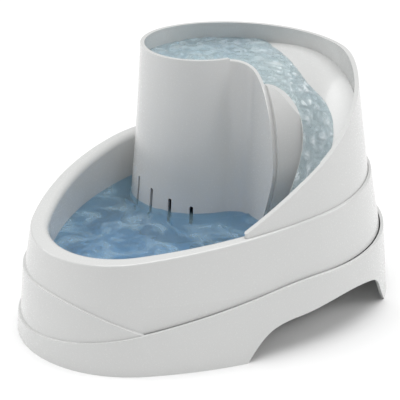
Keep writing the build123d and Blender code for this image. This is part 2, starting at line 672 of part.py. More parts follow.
def make_core():
    """Laminated yoke over the rotor, with a leg down each side of its well."""
    width = 2 * (WELL_R + WELL_WALL + CORE_GAP + CORE_LEG)
    high = YOKE_TOP_Z - (AXIS_Z - ROTOR_R)
    block = Box(width, CORE_T, high, align=BOTTOM)
    window = Box(width - 2 * CORE_LEG, CORE_T, high - CORE_LEG, align=BOTTOM)
    return Pos(PUMP_X, CORE_Y, AXIS_Z - ROTOR_R) * (block - window)


def bobbin_parts():
    """Bobbin and winding, round the yoke between its legs."""
    length = 2 * (WELL_R + WELL_WALL)
    middle = Pos(PUMP_X, CORE_Y, YOKE_TOP_Z - CORE_LEG / 2)
    hole = Box(length, CORE_T + FIT_CLEAR, CORE_LEG + FIT_CLEAR)
    tube_block = Box(length, CORE_T + 2 * BOBBIN_T, CORE_LEG + 2 * BOBBIN_T)
    flange = Box(BOBBIN_T, CORE_T + 2 * WINDING_T, CORE_LEG + 2 * WINDING_T)
    flanges = [Pos(side * (length - BOBBIN_T) / 2, 0, 0) * flange for side in (-1, 1)]
    bobbin = tube_block + flanges[0] + flanges[1] - hole
    full = Box(length, CORE_T + 2 * WINDING_T, CORE_LEG + 2 * WINDING_T)
    winding = Box(length - 2 * BOBBIN_T, CORE_T + 2 * WINDING_T, CORE_LEG + 2 * WINDING_T)
    return middle * bobbin, middle * (winding - tube_block), middle * full


def make_cover():
    """Chamber cover: inlet hole with three spokes to the front bearing's seat."""
    plate = tube(COVER_R, INLET_R, COVER_T) + tube(BUSH_R + WELL_WALL, BUSH_R, COVER_T)
    reach = INLET_R - BUSH_R
    spoke = Box(reach, SPOKE_W, COVER_T, align=BOTTOM)
    spoke = Pos(BUSH_R + (WELL_WALL + reach) / 2, 0, 0) * spoke
    for index in range(SPOKE_COUNT):
        plate += Rot(0, 0, 360 / SPOKE_COUNT * index) * spoke
    return on_axis(PUMP_FRONT_Y, plate)


def make_impeller():
    """Hub, back disc and straight blades that lean back from the radius."""
    disc = Cylinder(IMPELLER_R, IMPELLER_DISC_T, align=BOTTOM)
    hub = Cylinder(IMPELLER_HUB_R, IMPELLER_W, align=BOTTOM)
    blade = Box(IMPELLER_R - IMPELLER_HUB_R / 2, BLADE_T, IMPELLER_W,
                align=(Align.MIN, Align.CENTER, Align.MIN))
    blades = [
        Rot(0, 0, 360 / BLADE_COUNT * index) * (Pos(0, IMPELLER_HUB_R / 2, 0) * blade)
        for index in range(BLADE_COUNT)
    ]
    wheel = hub
    for item in blades:
        wheel += item
    wheel = (wheel & Cylinder(IMPELLER_R, IMPELLER_W, align=BOTTOM))
    wheel = Pos(0, 0, IMPELLER_DISC_T - IMPELLER_W) * wheel + disc
    bore = Cylinder(SHAFT_R + SHAFT_CLEAR, 3 * IMPELLER_W, align=BOTTOM)
    wheel -= Pos(0, 0, -IMPELLER_W) * bore
    return on_axis(IMPELLER_BACK_Y - IMPELLER_DISC_T, wheel)


def make_intake_cover():
    """Grilled hood slipped over the pump's front; its roof stops short of the outlet."""
    side = INTAKE_WALL + INTAKE_CLEAR
    high = PUMP_H + 2 * side
    outer = Box(PUMP_W + 2 * side, INTAKE_DEPTH + INTAKE_LAP, high, align=FRONT_FOOT)
    outer = fillet(outer.edges().filter_by(Axis.Y), PUMP_EDGE_R + side)
    inner = Box(PUMP_W + 2 * INTAKE_CLEAR, BIG, high - 2 * INTAKE_WALL, align=FRONT_FOOT)
    inner = fillet(inner.edges().filter_by(Axis.Y), PUMP_EDGE_R + INTAKE_CLEAR)
    hood = outer - Pos(0, INTAKE_WALL, INTAKE_WALL) * inner
    hood -= Pos(0, INTAKE_DEPTH - INTAKE_CLEAR, PUMP_H) * Box(BIG, BIG, BIG, align=FRONT_FOOT)
    pitch = PUMP_W / (INTAKE_BARS + 1)
    slot = Box(pitch / 2, 3 * INTAKE_WALL, high - 2 * INTAKE_EDGE)
    for index in range(INTAKE_BARS):
        hood -= Pos((index - (INTAKE_BARS - 1) / 2) * pitch, 0, high / 2) * slot
    return Pos(PUMP_X, PUMP_FRONT_Y - INTAKE_DEPTH, PUMP_BASE_Z - side) * hood


def cup_places():
    return [
        (PUMP_X + side * CUP_SPREAD_X, CUP_Y + end * CUP_SPREAD_Y)
        for side in (-1, 1)
        for end in (-1, 1)
    ]


def make_cup(x, y):
    cup = Cone(CUP_R, CUP_R / 2, PUMP_LIFT, align=BOTTOM)
    cup -= Cone(CUP_R - CUP_LIP, CUP_LIP / 3, PUMP_LIFT / 2, align=BOTTOM)
    stem = Cylinder(CUP_STEM_R - SHAFT_CLEAR, CUP_STEM_L - FOOT_CLEAR, align=BOTTOM)
    cup += Pos(0, 0, PUMP_LIFT) * stem
    return Pos(x, y, TANK_FLOOR_Z) * cup


def dial_place():
    """Seat of the flow dial on the pump's right-hand side; its plug points inwards."""
    return Pos(PUMP_X + PUMP_W / 2, OUTLET_Y, DIAL_Z) * Rot(0, -90, 0)


def make_dial():
    """Knob with a grip, and a cross-drilled plug that turns in the outlet's way."""
    knob = Pos(0, 0, -DIAL_T - FOOT_CLEAR) * Cylinder(DIAL_R, DIAL_T, align=BOTTOM)
    grip = Box(GRIP_L, BLADE_T, DIAL_T, align=BOTTOM)
    plug = Cylinder(PLUG_R, PUMP_W / 2 + PLUG_END, align=BOTTOM)
    dial = knob + Pos(0, 0, -2 * DIAL_T - FOOT_CLEAR) * grip + Pos(0, 0, -FOOT_CLEAR) * plug
    dial -= Pos(0, 0, PUMP_W / 2) * Cylinder(PLUG_BORE_R, 3 * PLUG_R, rotation=(0, 90, 0))
    return dial_place() * dial


def gland_blank():
    """Stepped rubber plug, narrower where it sits in the resin."""
    plug = Cylinder(GLAND_R, GLAND_IN, align=BOTTOM)
    sleeve = Cylinder(GLAND_R + GLAND_STEP, GLAND_L - GLAND_IN, align=BOTTOM)
    return plug + Pos(0, 0, GLAND_IN) * sleeve


def make_gland():
    return gland_place() * (gland_blank() - Cylinder(GLAND_BORE_R, GLAND_L, align=BOTTOM))


def gland_place():
    return Pos(GLAND_X, PUMP_Y + PUMP_D / 2 - GLAND_IN, GLAND_Z) * Rot(-90, 0, 0)


# ---------------------------------------------------------------- riser and pool fittings
def make_adapter():
    """Stepped sleeve: a socket over the pump's outlet and a spout for the riser."""
    socket = tube(OUTLET_R + FIT_CLEAR + ADAPTER_WALL, OUTLET_R + FIT_CLEAR, OUTLET_H)
    shoulder = tube(OUTLET_R + FIT_CLEAR + ADAPTER_WALL, SPOUT_BORE_R, ADAPTER_WALL)
    spout = tube(RISER_BORE_R - FIT_CLEAR, SPOUT_BORE_R, RISER_OVERLAP)
    adapter = socket + Pos(0, 0, OUTLET_H) * shoulder + Pos(0, 0, OUTLET_H + ADAPTER_WALL) * spout
    return Pos(PUMP_X, OUTLET_Y, PUMP_TOP_Z) * adapter


def make_riser():
    length = RISER_TOP_Z - RISER_LOW_Z
    return Pos(PUMP_X, OUTLET_Y, RISER_LOW_Z) * tube(RISER_R, RISER_BORE_R, length)


def make_grommet():
    """Rubber ring in the pool floor, with a flange above and below it."""
    body_h = CHUTE_SHEET + 2 * GROMMET_FLANGE_T
    ring = tube(GROMMET_R - FIT_CLEAR / 3, RISER_R + FIT_CLEAR / 3, body_h)
    flange = tube(COLLAR_R, RISER_R + FIT_CLEAR / 3, GROMMET_FLANGE_T - FIT_CLEAR)
    ring += flange
    ring += Pos(0, 0, body_h - GROMMET_FLANGE_T + FIT_CLEAR) * flange
    return Pos(PUMP_X, OUTLET_Y, POOL_FLOOR_Z - CHUTE_SHEET - GROMMET_FLANGE_T) * ring


def make_cap():
    """Diffuser over the riser's end: water leaves through windows round its side."""
    cap = Cylinder(CAP_R, CAP_H, align=BOTTOM)
    cap -= Cylinder(CAP_R - CAP_WALL, CAP_H - CAP_WALL, align=BOTTOM)
    cap = fillet(cap.edges().group_by(Axis.Z)[-1], CAP_WALL / 2)
    cap += tube(RISER_R + FIT_CLEAR + CAP_WALL, RISER_R + FIT_CLEAR, CAP_FLOOR)
    bar = Box(CAP_R - RISER_R, 2 * CAP_WALL, CAP_WALL, align=BOTTOM)
    bar = Pos((RISER_R + CAP_R) / 2, 0, 0) * bar
    for index in range(CAP_BARS):
        turn = Rot(0, 0, 360 / CAP_BARS * index)
        cap += turn * bar - Cylinder(RISER_R + FIT_CLEAR, CAP_H, align=BOTTOM)
    window = Box(2 * CAP_WALL, CAP_WINDOW_W, CAP_H - 2 * CAP_RING, align=BOTTOM)
    for index in range(CAP_WINDOWS):
        turn = Rot(0, 0, 360 / CAP_WINDOWS * (index + 0.5))
        cap -= turn * (Pos(CAP_R - CAP_WALL / 2, 0, CAP_RING) * window)
    return Pos(PUMP_X, OUTLET_Y, CAP_Z) * cap


# ---------------------------------------------------------------- filter
def filter_place(z=0.0):
    return Pos(FILTER_X, FILTER_Y, TANK_FLOOR_Z + z)


def make_holder():
    """Two guide rails on a foot plate: the cassette slides up out of them."""
    long = FILTER_W + 2 * (RAIL_CLEAR + RAIL_T)
    deep = FILTER_D + 2 * (RAIL_CLEAR + RAIL_T)
    plate = Box(long, deep, TRAY_T, align=BOTTOM)
    rails = Pos(0, 0, TRAY_T) * Box(long, deep, RAIL_H, align=BOTTOM)
    rails -= Pos(0, 0, TRAY_T) * Box(
        FILTER_W + 2 * RAIL_CLEAR, FILTER_D + 2 * RAIL_CLEAR, RAIL_H, align=BOTTOM
    )
    rails -= Pos(0, 0, TRAY_T + FILTER_LIP) * Box(
        FILTER_W - 2 * RAIL_LAP, BIG, RAIL_H, align=BOTTOM
    )
    return filter_place() * (plate + rails)


def grille(width, height, thickness, rim):
    """Panel in the X-Z plane with upright slots inside a rim, its back face at y = 0."""
    panel = Box(width, thickness, height, align=(Align.CENTER, Align.MAX, Align.MIN))
    count = int((width - 2 * rim) / GRILLE_PITCH)
    slot = Box(GRILLE_PITCH / 2, 3 * thickness, height - 2 * rim, align=BOTTOM)
    for index in range(count):
        panel -= Pos((index - (count - 1) / 2) * GRILLE_PITCH, 0, rim) * slot
    return panel


def make_cassette_frame():
    """Box frame open to the front, with a slotted back and a pull tab."""
    frame = Box(FILTER_W, FILTER_D, FILTER_H, align=BOTTOM)
    frame -= Pos(0, 0, FRAME_WALL) * Box(
        FILTER_W - 2 * FRAME_WALL, BIG, FILTER_H - 2 * FRAME_WALL, align=BOTTOM
    )
    back = grille(FILTER_W - FRAME_WALL, FILTER_H - FRAME_WALL, FRAME_WALL, 2 * FRAME_WALL)
    frame += Pos(0, FILTER_D / 2, FRAME_WALL / 2) * back
    tab = Box(TAB_W, FRAME_WALL, TAB_H, align=BOTTOM)
    tab = fillet(tab.edges().filter_by(Axis.Y).group_by(Axis.Z)[-1], TAB_H / 2)
    frame += Pos(0, 0, FILTER_H - FRAME_WALL / 2) * tab
    return filter_place(TRAY_T) * frame


def cassette_fill(front, thickness):
    """A block that fills the cassette's inside from a depth behind its front edge."""
    wide = FILTER_W - 2 * (FRAME_WALL + FIT_CLEAR)
    high = FILTER_H - 2 * (FRAME_WALL + FIT_CLEAR)
    block = Box(wide, thickness, high, align=(Align.CENTER, Align.MIN, Align.MIN))
    return filter_place(TRAY_T) * Pos(0, front - FILTER_D / 2, FRAME_WALL + FIT_CLEAR) * block


def make_cassette_grille():
    wide = FILTER_W - 2 * (FRAME_WALL + FIT_CLEAR)
    high = FILTER_H - 2 * (FRAME_WALL + FIT_CLEAR)
    panel = grille(wide, high, FRAME_WALL, 2 * FRAME_WALL)
    return filter_place(TRAY_T) * Pos(0, FRAME_WALL - FILTER_D / 2, FRAME_WALL + FIT_CLEAR) * panel


# ---------------------------------------------------------------- build and write
def make_parts():
    core = make_core()
    bobbin, winding, coil_space = bobbin_parts()
    gland = make_gland()
    body = make_pump_body()
    resin = potting_space() - well_block() - core - coil_space - gland_place() * gland_blank()
    bush = tube(BUSH_R - FIT_CLEAR / 3, SHAFT_R + SHAFT_CLEAR / 2, BUSH_L)
    magnet = tube(ROTOR_R, SHAFT_R + SHAFT_CLEAR, ROTOR_L)
    parts = {
        "basin": make_basin(),
        "tower": make_tower(),
        "pump_body": body,
        "stator_core": core,
        "coil_bobbin": bobbin,
        "coil_winding": winding,
        "potting_resin": resin,
        "cord_gland": gland,
        "rotor_magnet": on_axis(IMPELLER_BACK_Y, magnet),
        "impeller": make_impeller(),
        "impeller_shaft": on_axis(SHAFT_FRONT_Y, Cylinder(SHAFT_R, SHAFT_L, align=BOTTOM)),
        "front_bush": on_axis(PUMP_FRONT_Y, bush),
        "rear_bush": on_axis(WELL_END_Y - BUSH_L, bush),
        "chamber_cover": make_cover(),
        "chamber_seal": on_axis(PUMP_FRONT_Y + COVER_T, tube(COVER_R, CHAMBER_R, SEAL_T)),
        "intake_cover": make_intake_cover(),
        "flow_dial": make_dial(),
        "outlet_adapter": make_adapter(),
        "riser_tube": make_riser(),
        "riser_grommet": make_grommet(),
        "nozzle_cap": make_cap(),
        "filter_holder": make_holder(),
        "cassette_frame": make_cassette_frame(),
        "cassette_grille": make_cassette_grille(),
        "foam_pad": cassette_fill(FRAME_WALL + FIT_CLEAR, FOAM_T),
        "carbon_bed": cassette_fill(FRAME_WALL + FOAM_T + 2 * FIT_CLEAR, CARBON_T),
    }
    for index, (x, y) in enumerate(cup_places()):
        parts[f"suction_cup_{index + 1}"] = make_cup(x, y)
    return parts


def main():
    os.makedirs("parts", exist_ok=True)
    for name, shape in make_parts().items():
        export_step(shape, f"parts/{name}.step")


if __name__ == "__main__":
    main()
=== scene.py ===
from math import radians

import bpy
import numpy as np
from bpy.props import FloatProperty, FloatVectorProperty, PointerProperty
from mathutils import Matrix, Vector


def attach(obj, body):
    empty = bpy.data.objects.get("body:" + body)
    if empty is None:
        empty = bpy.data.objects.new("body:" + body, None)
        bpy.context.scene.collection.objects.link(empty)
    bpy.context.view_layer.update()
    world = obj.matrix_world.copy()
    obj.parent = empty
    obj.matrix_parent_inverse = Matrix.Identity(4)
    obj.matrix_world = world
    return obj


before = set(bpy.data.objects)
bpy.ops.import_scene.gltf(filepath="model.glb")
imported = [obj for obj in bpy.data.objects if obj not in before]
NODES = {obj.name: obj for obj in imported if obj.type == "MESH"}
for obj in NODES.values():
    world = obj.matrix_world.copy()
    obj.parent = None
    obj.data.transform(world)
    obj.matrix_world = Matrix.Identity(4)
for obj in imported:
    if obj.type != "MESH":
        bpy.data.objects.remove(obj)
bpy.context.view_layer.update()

bl_info = {
    "name": "Pet Water Fountain",
    "version": (1, 0, 0),
    "blender": (4, 5, 0),
    "location": "View3D > Sidebar > Fountain",
    "description": "Finishes for a pet water fountain, its water and a studio stage",
    "category": "Object",
}

MM = 0.001


# ---------------------------------------------------------------- sizes and colours
class FountainWater(bpy.types.PropertyGroup):
    """Levels, depths and ripples of the water."""

    basin_level: FloatProperty(
        name="Basin Level", description="Height of the drinking water",
        default=70.4 * MM, unit="LENGTH",
    )
    pool_level: FloatProperty(
        name="Pool Level", description="Height of the water in the raised pool",
        default=194.4 * MM, unit="LENGTH",
    )
    stream_depth: FloatProperty(
        name="Stream Depth", description="Depth of the stream down the middle of the chute",
        default=2.4 * MM, unit="LENGTH",
    )
    ripple_height: FloatProperty(
        name="Ripple Height", description="Height of the ripples in the basin",
        default=0.5 * MM, unit="LENGTH",
    )
    tint: FloatVectorProperty(
        name="Tint", description="Colour that deep water takes",
        default=(0.22, 0.64, 0.9), subtype="COLOR", min=0, max=1,
    )
    density: FloatProperty(
        name="Tint Density", description="How fast the water takes its tint, per metre",
        default=15.0, min=0,
    )
    haze: FloatProperty(
        name="Haze", description="Share of the light that the basin's water scatters back",
        default=0.16, subtype="FACTOR", min=0, max=1,
    )
    haze_color: FloatVectorProperty(
        name="Haze Colour", description="Colour of the light that the water scatters and lets in",
        default=(0.5, 0.79, 0.97), subtype="COLOR", min=0, max=1,
    )
    shallow_color: FloatVectorProperty(
        name="Shallow Colour", description="What the pool's and the stream's water lets through",
        default=(0.8, 0.94, 1.0), subtype="COLOR", min=0, max=1,
    )
    # painted highlight: how strongly white is painted on the water's crests and in patches, in
    # place of highlights and reflections
    froth: FloatProperty(
        name="Painted Highlight", description="How white the stream's crests are",
        default=0.75, subtype="FACTOR", min=0, max=1,
    )


class FountainShell(bpy.types.PropertyGroup):
    """Finish of the white mouldings."""

    color: FloatVectorProperty(
        name="Colour", description="Colour of the glossy white mouldings",
        default=(0.70, 0.705, 0.697), subtype="COLOR", min=0, max=1,
    )
    roughness: FloatProperty(
        name="Roughness", description="Mean roughness of the white mouldings",
        default=0.24, subtype="FACTOR", min=0, max=1,
    )
    grain: FloatProperty(
        name="Grain Depth", description="Depth of the moulding's faint grain",
        default=0.015 * MM, unit="LENGTH",
    )


class FountainInside(bpy.types.PropertyGroup):
    """Colours of the pump and the filter."""

    pump: FloatVectorProperty(
        name="Pump", description="Colour of the pump's mouldings",
        default=(0.028, 0.03, 0.034), subtype="COLOR", min=0, max=1,
    )
    dial: FloatVectorProperty(
        name="Dial", description="Colour of the flow dial",
        default=(0.08, 0.2, 0.38), subtype="COLOR", min=0, max=1,
    )
    copper: FloatVectorProperty(
        name="Copper", description="Colour of the enamelled wire",
        default=(0.72, 0.3, 0.13), subtype="COLOR", min=0, max=1,
    )
    foam: FloatVectorProperty(
        name="Foam", description="Colour of the foam pad",
        default=(0.16, 0.27, 0.42), subtype="COLOR", min=0, max=1,
    )


class FountainStage(bpy.types.PropertyGroup):
    """Camera and studio."""

    azimuth: FloatProperty(
        name="Azimuth", description="Direction the camera looks from, round the fountain",
        default=radians(44.544), unit="ROTATION",
    )
    elevation: FloatProperty(
        name="Elevation", description="Angle the camera looks down by",
        default=radians(23.55), unit="ROTATION",
    )
    distance: FloatProperty(
        name="Distance", description="From the camera to the point it looks at",
        default=1.5, unit="LENGTH",
    )
    lens: FloatProperty(
        name="Lens", description="Focal length on a 36 mm sensor",
        default=154.18, unit="CAMERA",
    )
    floor_size: FloatProperty(
        name="Floor Size", description="Side of the square floor",
        default=9.0, unit="LENGTH",
    )
    light: FloatProperty(
        name="Light", description="Strength of all the lamps together", default=1.0, min=0,
    )
    softness: FloatProperty(
        name="Softness", description="Angle that the overhead light spreads over",
        default=radians(50), unit="ROTATION",
    )
    ambient: FloatProperty(
        name="Ambient", description="Strength of the even light all round", default=0.38, min=0,
    )


# ---------------------------------------------------------------- meshes
def add_object(name, data):
    """A new object of the scene, at the origin."""
    item = bpy.data.objects.new(name, data)
    bpy.context.scene.collection.objects.link(item)
    return item


def add_mesh(name, points, faces, body, material, **values):
    """A smooth mesh from arrays, in the row frame, that moves with a body.

    Values are attributes by name, with one number for each point.
    """
    mesh = bpy.data.meshes.new(name)
    mesh.from_pydata(points.reshape(-1, 3), [], faces.reshape(-1, faces.shape[-1]))
    mesh.polygons.foreach_set("use_smooth", np.ones(len(mesh.polygons), bool))
    mesh.update()
    for key, value in values.items():
        mesh.attributes.new(key, "FLOAT", "POINT").data.foreach_set("value", value.ravel())
    mesh.materials.append(material)
    piece = add_object(name, mesh)
    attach(piece, body)


def grid_faces(rows, columns, start=0):
    """Quads of a rows by columns grid of points, which face up where the way from row to
    row turns anticlockwise into the way from column to column."""
    index = start + np.arange(rows * columns).reshape(rows, columns)
    corners = (index[:-1, :-1], index[1:, :-1], index[1:, 1:], index[:-1, 1:])
    return np.stack(corners, axis=-1).reshape(-1, 4)


def rim_indices(rows, columns):
    """Indices of a grid's border points in order, once round."""
    index = np.arange(rows * columns).reshape(rows, columns)
    return np.concatenate((index[:-1, 0], index[-1, :-1], index[:0:-1, -1], index[0, :0:-1]))


def stacked_body(top, rings, bottom):
    """Closed body: a top grid, rings of points down its side, and a bottom grid.

    The rings have one point for each border point of the grids, in the same order.
    """
    rows, columns = top.shape[:2]
    count = rows * columns
    border = rim_indices(rows, columns)
    loops = [border]
    loops += [2 * count + len(border) * k + np.arange(len(border)) for k in range(len(rings))]
    loops.append(count + border)
    sides = []
    for upper, lower in zip(loops, loops[1:]):
        after = (np.roll(upper, -1), np.roll(lower, -1))
        sides.append(np.stack((upper, lower, after[1], after[0]), axis=-1))
    faces = np.concatenate((
        grid_faces(rows, columns), grid_faces(rows, columns, count)[:, ::-1], *sides,
    ))
    points = np.concatenate([part.reshape(-1, 3) for part in (top, bottom, *rings)])
    return points, faces


# ---------------------------------------------------------------- sizes in mm
# Points in plan are complex numbers, x + 1j * y. Turns are degrees clockwise round the
# pivot, from its -X side.

# the tower's walls
REAR = 33j
REAR_R = 147.0                # the basin's wide end on the floor
TOWER_INSET = 19.8            # the tower's outer wall from there, at INSET_LEVEL
INSET_LEVEL = 108.0
TOWER_DRAFT = np.tan(radians(7.85))   # how far it comes in for each millimetre up
TOWER_WALL = 3.6
TOWER_TOP = 209.0
POOL = -53.0 + 56.4j          # the pool column at the top, and its radius
POOL_R = 53.6
POOL_LEAN = 0.04              # for each millimetre down it moves forward by this
POOL_FLARE = 0.055            # and its radius grows by this
FRONT_POINT = 41.8 + 34.6j    # a point of the front wall at the water line
FRONT_LEVEL = 70.4
FRONT_LEAN = 0.07             # for each millimetre up the wall moves back by this
FRONT_HEADING = radians(-15.0)
FRONT_RUN = 200.0             # length of the outline's front wall, to far past the corner
REAR_FROM = -0.5              # angle at which its rear arc starts, past the corner too
HOLLOW_R = 19.0               # hollow turn from the column into the front wall

# the pool and the chute
NOZZLE = -53.0 + 54.4j
POOL_FLOOR = 180.0
WEIR_RUN = 22.0               # width of the ramp from the pool's floor up to the chute
PIVOT = 50.0 + 22.0j
NEWEL = 51.0 + 43.0j          # the well that the chute winds about
NEWEL_R = 23.2
CHUTE_START = 45.0
CHUTE_END = 166.0             # the turn at which it meets the basin's water
CHUTE_TOP = 190.0
CHUTE_FOOT = 71.0
CHUTE_NEAR = 9.0              # radii between which the chute is dished
CHUTE_REACH = (157.0, -120.0, 48.0)   # the far one, and how it changes with the fall
CHUTE_DISH = 16.0             # how far the edges stand over the middle, halfway down

# the stream
STREAM_BEND = 0.35            # share of the fall where the stream's outer edge turns in
STREAM_OUT = 78.0             # its distance from the pivot there
STREAM_SWING = 714.0          # before it, how fast the edge swings in from the wall
STREAM_CLOSE = 142.0          # and past it, how fast it closes in on the well
STREAM_LEAST = 2.0            # least width
STREAM_TURN = 168.0           # the turn at which it ends
STREAM_THINS = 0.4            # share of its depth that it loses on the way down
STREAM_FREED = (0.1, 0.08)    # shares of the fall by which it is off the near and far walls
STREAM_STRETCH = 90.0         # length that its waves take the whole fall for
BRIM = 0.07                   # share of the fall over which the pool's depth runs out

# the mesh of the pool and the stream
STREAM_COLUMNS = 520          # grid points along it
STREAM_ROWS = 92              # and across it
STREAM_CROWD = 1.4            # power that brings the first columns closer together
POOL_END = 0.002              # radians from the tangent at the pool's far end
LOWEST_SPAN = 60.0            # from here up the tower's walls are traced
SPANS = 15                    # at as many heights
TOWER_OVERLAP = 0.8           # how far the water runs into the tower's walls
TOWER_SUNK = 0.5              # and into its floor
EDGE_SUNK = 0.4               # how far under the floor the stream's free edges end

# the basin's water
BASIN_CENTRE = -5.0j
BASIN_GRID = 212              # grid points each way
TANK_FLOOR = 7.5
TANK_STEPS = (9.0, 4.0, 1.6, 0.4)     # heights over the floor where the side is traced
TANK_DIRECTIONS = 721         # directions in which the tank's wall is traced
TANK_OVERLAP = 0.6            # how far the water runs into the tank's wall
TANK_SUNK = 0.4               # and into its floor
CHUTE_POUR = 78.0 + 24.0j     # middle of the rings that the stream makes
COLUMN_RING = -47.0 + 52.0j   # middle of the ring of water that stands round the column
COLUMN_RING_R = 72.0


def polar(radius, angle):
    """The plan vector of a length and a direction."""
    return radius * np.exp(1j * angle)


def arc(centre, radius, start, end, count=90):
    """Points of an arc from one angle to another."""
    return centre + polar(radius, np.linspace(start, end, count))


def cavity_outline(level, inset):
    """The tower's plan at a height, moved in by inset, without its front right corner.

    Arcs and a line that touch one another: the rear, a blend midway in size, the pool
    column, a hollow turn the other way, and the straight front wall. The first and the
    last run on past the corner, so that every ray meets them.
    """
    rear_r = REAR_R - TOWER_INSET - TOWER_DRAFT * (level - INSET_LEVEL)
    depth = TOWER_TOP - level
    pool, pool_r = POOL - 1j * POOL_LEAN * depth, POOL_R + POOL_FLARE * depth
    arm, half_reach = (rear_r - pool_r) / 2, abs(pool - REAR) / 2
    turn = np.arccos(half_reach / arm)
    blend = REAR + polar(arm, np.angle(pool - REAR) - turn)
    base = FRONT_POINT + 1j * FRONT_LEAN * (level - FRONT_LEVEL)
    behind = FRONT_HEADING + np.pi / 2
    start = base - polar(HOLLOW_R, behind)
    gap = start - pool
    along = (gap * polar(1, -FRONT_HEADING)).real
    run = -along + np.sqrt(along**2 - abs(gap) ** 2 + (pool_r + HOLLOW_R) ** 2)
    hollow = start + polar(run, FRONT_HEADING)
    blend_start, blend_end = np.angle(blend - REAR), np.angle(pool - blend)
    column_end = np.angle(hollow - pool)
    return np.concatenate((
        arc(REAR, rear_r - inset, REAR_FROM, blend_start, 300),
        arc(blend, rear_r - arm - inset, blend_start, blend_end % (2 * np.pi)),
        arc(pool, pool_r - inset, blend_end % (2 * np.pi), column_end % (2 * np.pi), 200),
        arc(hollow, HOLLOW_R + inset, column_end + np.pi, behind),
        [hollow + polar(HOLLOW_R + inset, behind) + polar(FRONT_RUN, FRONT_HEADING)],
    ))


NEAR_MISS = 1e-6              # share of a segment by which a ray may pass its ends
NO_CROSS = 1e-12              # stands for the zero of two lines that are parallel


def hits(origin, starts, ends, angles):
    """Distances at which rays from a point meet segments in plan, nan where they miss.

    Each ray's line is solved against each segment's, for all of them at once.
    """
    gap, run = starts - origin, ends - starts
    way = polar(1, np.asarray(angles))[:, None]
    cross = (np.conj(way) * run).imag
    cross = np.where(np.abs(cross) < NO_CROSS, NO_CROSS, cross)
    along = (np.conj(gap) * run).imag / cross
    across = (np.conj(gap) * way).imag / cross
    inside = (across > -NEAR_MISS) & (across < 1 + NEAR_MISS)
    return np.where((along > 0) & inside, along, np.nan)


def cavity_span(level, inset, angles):
    """Where rays from the chute's pivot enter and leave the tower's inside, at a height."""
    outline = cavity_outline(level, inset)
    met = hits(PIVOT, outline[:-1], outline[1:], angles)
    return np.nanmin(met, axis=1), np.nanmax(met, axis=1)


def wall_reach(node, level, centre, angles):
    """Distance in millimetres from a centre to a node's nearest wall at a height.

    The node's triangles that cross the level plane are cut in proportion to their
    corners' heights over it, and rays are solved against the cuts.
    """
    mesh = NODES[node].data
    mesh.calc_loop_triangles()
    points = np.empty(len(mesh.vertices) * 3)
    mesh.vertices.foreach_get("co", points)
    corners = np.empty(len(mesh.loop_triangles) * 3, int)
    mesh.loop_triangles.foreach_get("vertices", corners)
    triangles = points.reshape(-1, 3)[corners.reshape(-1, 3)] / MM
    over = triangles[:, :, 2] - level
    mixed = (over > 0).any(axis=1) & (over <= 0).any(axis=1)
    plan, over = triangles[mixed] @ np.array([1, 1j, 0]), over[mixed]
    after = np.roll(over, -1, axis=1)
    crossing = (over > 0) != (after > 0)
    share = over / np.where(crossing, over - after, 1)
    cuts = (plan + share * (np.roll(plan, -1, axis=1) - plan))[crossing].reshape(-1, 2)
    return np.nanmin(hits(centre, cuts[:, 0], cuts[:, 1], angles), axis=1)


# ---------------------------------------------------------------- materials
MIX_FIRST, MIX_SECOND, MIX_RESULT = 6, 7, 2   # a Mix node's colour sockets, by index


class Nodes:
    """A material's node tree, with short ways to add and join nodes."""

    def __init__(self, name):
        self.material = bpy.data.materials.new(name)
        self.material.use_nodes = True
        self.tree = self.material.node_tree
        self.shader = self.tree.nodes["Principled BSDF"]
        self.output = self.tree.nodes["Material Output"]

    def fill(self, node, inputs):
        """Give a node its inputs, by name or index, each a value or another node's output."""
        for key, value in inputs.items():
            if isinstance(value, bpy.types.NodeSocket):
                self.tree.links.new(value, node.inputs[key])
            else:
                node.inputs[key].default_value = value

    def add(self, kind, inputs=(), **settings):
        """A new node, with its settings made and its inputs filled."""
        node = self.tree.nodes.new(kind)
        for key, value in settings.items():
            setattr(node, key, value)
        self.fill(node, dict(inputs))
        return node

    def place(self):
        """The point in the object's own coordinates, in metres."""
        return self.add("ShaderNodeTexCoord").outputs["Object"]

    def noise(self, scale, detail=3.0, roughness=0.5, distortion=0.0):
        """Noise with so many bumps to the metre."""
        inputs = {
            "Vector": self.place(), "Scale": scale, "Detail": detail,
            "Roughness": roughness, "Distortion": distortion,
        }
        return self.add("ShaderNodeTexNoise", inputs).outputs["Fac"]

    def cells(self, scale, **settings):
        """Irregular cells, so many to the metre."""
        inputs = {"Vector": self.place(), "Scale": scale}
        return self.add("ShaderNodeTexVoronoi", inputs, **settings).outputs

    def bands(self, scale, distortion, axis, profile):
        """Parallel bands that follow one another along an axis."""
        inputs = {"Vector": self.place(), "Scale": scale, "Distortion": distortion}
        node = self.add(
            "ShaderNodeTexWave", inputs, bands_direction=axis, wave_profile=profile,
        )
        return node.outputs["Fac"]

    def remap(self, value, low, high, start=0.3, end=0.7):
        """The value's range from start to end carried to low and high."""
        inputs = {
            "Value": value, "From Min": start, "From Max": end, "To Min": low, "To Max": high,
        }
        return self.add("ShaderNodeMapRange", inputs).outputs["Result"]

    def blend(self, share, first, second):
        """Mix of two colours, each an output or its red, green and blue."""
        first, second = (
            color if isinstance(color, bpy.types.NodeSocket) else (*color, 1)
            for color in (first, second)
        )
        inputs = {"Factor": share, MIX_FIRST: first, MIX_SECOND: second}
        return self.add("ShaderNodeMix", inputs, data_type="RGBA").outputs[MIX_RESULT]

    def bump(self, height, distance, strength=1.0):
        """Raise the surface by a height, whose range of 1 stands for a distance."""
        inputs = {"Height": height, "Distance": distance, "Strength": strength}
        bump = self.add("ShaderNodeBump", inputs)
        self.fill(self.shader, {"Normal": bump.outputs["Normal"]})

    def finish(self, color, roughness, inputs=()):
        """The material, once its shader has a colour, a roughness and any further inputs."""
        self.fill(self.shader, {"Base Color": color, "Roughness": roughness, **dict(inputs)})
        return self.material


